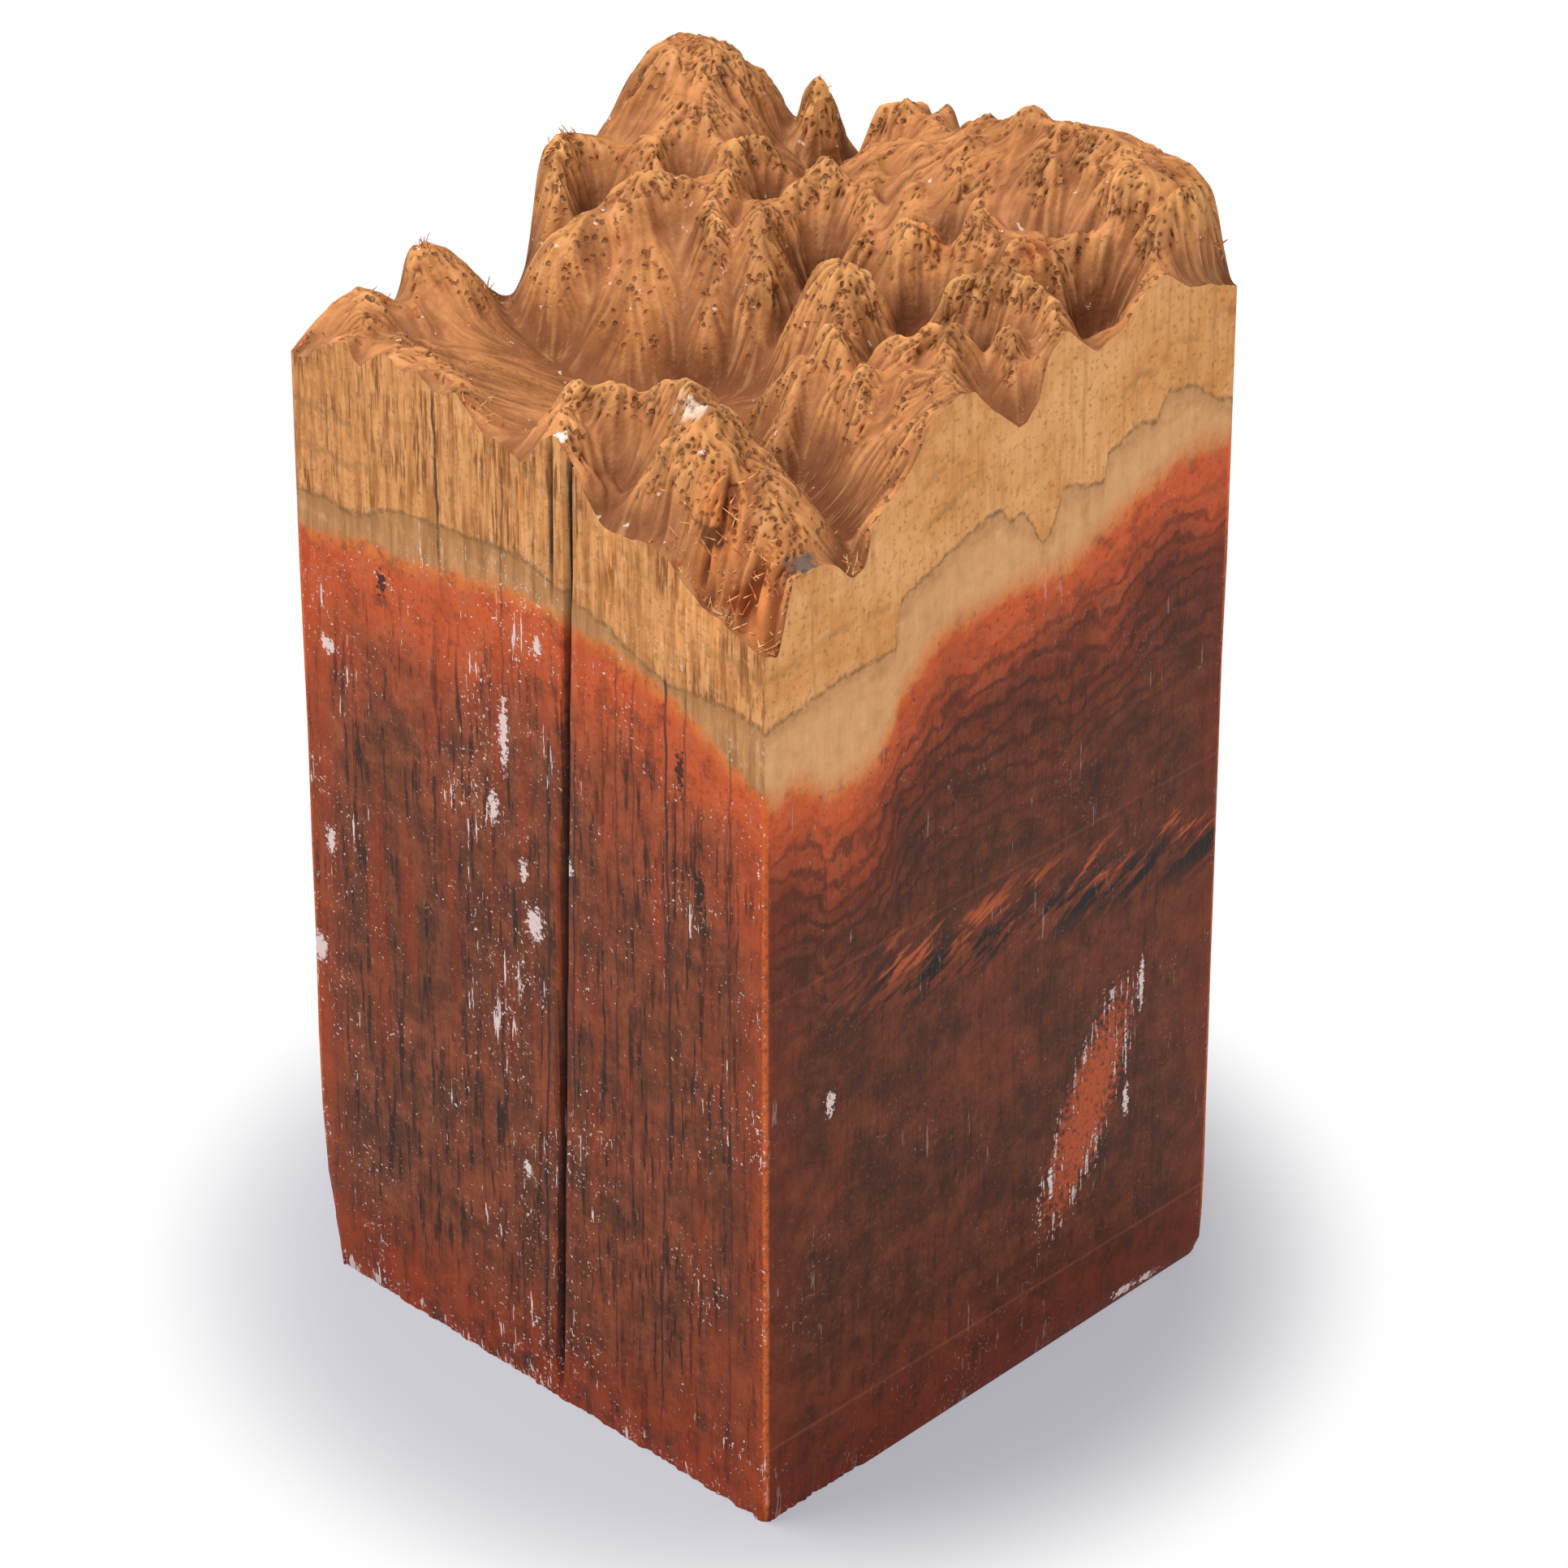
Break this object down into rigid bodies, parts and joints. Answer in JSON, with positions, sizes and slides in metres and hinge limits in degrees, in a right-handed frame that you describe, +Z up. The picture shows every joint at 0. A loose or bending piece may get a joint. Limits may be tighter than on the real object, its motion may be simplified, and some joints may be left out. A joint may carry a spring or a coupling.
{
  "type": "burl turning blank",
  "caption": "Upright square block of burl wood with sawn base and sides and the burl's natural knobby surface on top, for wood turning.",
  "frame": {"origin": "middle of the sawn base, on the surface that the block stands on", "axes": "+Z up along the block towards the burl skin; X and Y square to the sawn sides, with the picture's front edge at +X -Y"},
  "size_m": [0.102, 0.102, 0.2021],
  "materials": {
    "burl_wood": "sawn red-brown heartwood under thin sealing wax, pale sapwood above it, raw tan burl skin on top"
  },
  "bodies": {
    "root": {"burl_blank": "burl_wood"}
  },
  "joints": []
}
